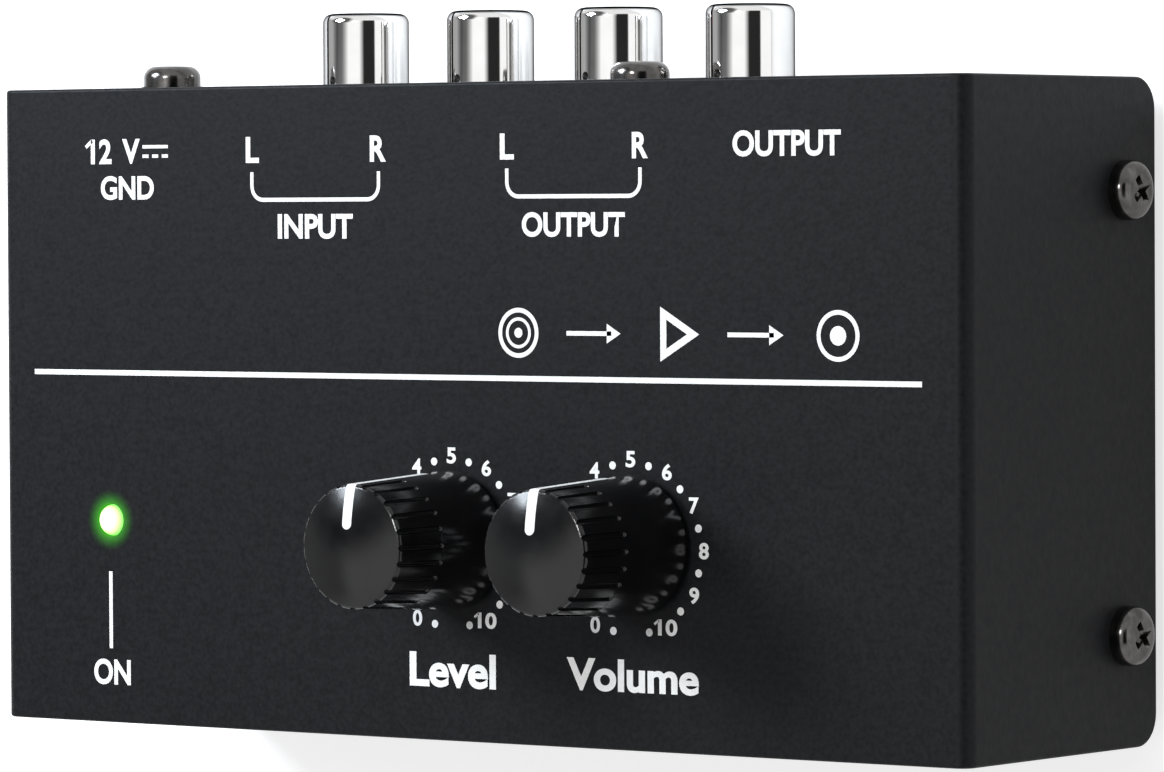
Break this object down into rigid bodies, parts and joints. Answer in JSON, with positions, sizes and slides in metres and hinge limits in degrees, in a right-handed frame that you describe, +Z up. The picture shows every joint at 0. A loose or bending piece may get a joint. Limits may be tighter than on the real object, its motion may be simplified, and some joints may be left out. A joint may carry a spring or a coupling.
{
  "type": "phono preamp",
  "caption": "Small black steel phono preamp box with level and volume knobs, rear phono barrels, phone and power sockets, an earth screw and a pilot lamp.",
  "frame": {"origin": "on the ground plane under the middle of the whole object, barrels included", "axes": "+Z up through the knob panel, +Y out of the rear wall with the sockets, +X to the right seen from the front edge"},
  "size_m": [0.116, 0.068, 0.0494],
  "materials": {
    "powder_coat": "satin black powder coat",
    "nickel": "black nickel plate, bright",
    "bright_steel": "bright nickel plate",
    "tin": "tin plate",
    "gold": "gold flash",
    "brass": "turned brass",
    "rubber": "matt black rubber",
    "circuit_board": "green solder mask",
    "moulded_black": "moulded black plastic",
    "white_insulator": "moulded white plastic",
    "red_insulator": "moulded red plastic",
    "pot_case": "glass-filled plastic",
    "wafer": "paper phenolic with carbon track",
    "knob_plastic": "semi-gloss black plastic",
    "white_print": "white paint",
    "pilot_lens": "diffused green resin",
    "capacitor_sleeve": "shrink sleeve",
    "film_case": "epoxy case",
    "resistor_body": "blue lacquer"
  },
  "bodies": {
    "case": {"amplifier_chips": "moulded_black", "base_chassis": "powder_coat", "board_screws": "nickel", "board_standoffs": "brass", "control_board": "circuit_board", "cover_screws": "nickel", "dc_jack_body": "moulded_black", "dc_jack_contact": "tin", "dc_jack_pin": "tin", "electrolytic_capacitors": "capacitor_sleeve", "film_capacitors": "film_case", "ground_lug": "tin", "ground_nut": "nickel", "ground_wire": "tin", "header_contacts": "gold", "header_strips": "moulded_black", "input_contacts": "tin", "input_jack_block": "moulded_black", "input_sleeves": "bright_steel", "jack_block_screw": "nickel", "led_leads": "tin", "led_lens": "pilot_lens", "led_spacer": "moulded_black", "left_insulators": "white_insulator", "level_pot_bushing": "brass", "level_pot_housing": "pot_case", "level_pot_nut": "nickel", "level_pot_terminals": "tin", "level_pot_wafer": "wafer", "level_pot_washer": "nickel", "main_board": "circuit_board", "output_contacts": "tin", "output_jack_block": "moulded_black", "output_sleeves": "bright_steel", "phone_jack_body": "moulded_black", "phone_jack_bushing": "bright_steel", "phone_jack_contacts": "tin", "protection_diode": "moulded_black", "resistors": "resistor_body", "right_insulators": "red_insulator", "rubber_feet": "rubber", "top_cover": "powder_coat", "voltage_regulator": "moulded_black", "volume_pot_bushing": "brass", "volume_pot_housing": "pot_case", "volume_pot_nut": "nickel", "volume_pot_terminals": "tin", "volume_pot_wafer": "wafer", "volume_pot_washer": "nickel"},
    "level_control": {"level_knob": "knob_plastic", "level_pointer": "white_print", "level_pot_shaft": "brass", "level_pot_wiper": "tin"},
    "volume_control": {"volume_knob": "knob_plastic", "volume_pointer": "white_print", "volume_pot_shaft": "brass", "volume_pot_wiper": "tin"},
    "ground_clamp": {"ground_washer": "nickel"},
    "ground_terminal": {"ground_screw": "nickel"}
  },
  "joints": [
    {"name": "level_turn", "type": "hinge", "parent": "case", "child": "level_control", "pos_m": [-0.0008, -0.01535, 0.03365], "axis": [0, 0, 1], "range_deg": [-150, 150]},
    {"name": "volume_turn", "type": "hinge", "parent": "case", "child": "volume_control", "pos_m": [0.01995, -0.01535, 0.03365], "axis": [0, 0, 1], "range_deg": [-150, 150]},
    {"name": "ground_travel", "type": "slide", "parent": "case", "child": "ground_clamp", "axis": [0, 1, 0], "range_m": [0, 0.002]},
    {"name": "ground_turn", "type": "hinge", "parent": "ground_clamp", "child": "ground_terminal", "pos_m": [-0.0399, 0.02695, 0.02685], "axis": [0, 1, 0], "range_deg": [0, 1445]}
  ],
  "couplings": [
    {"joint": "ground_turn", "follows": "ground_travel", "rad_per_m": 12566}
  ]
}
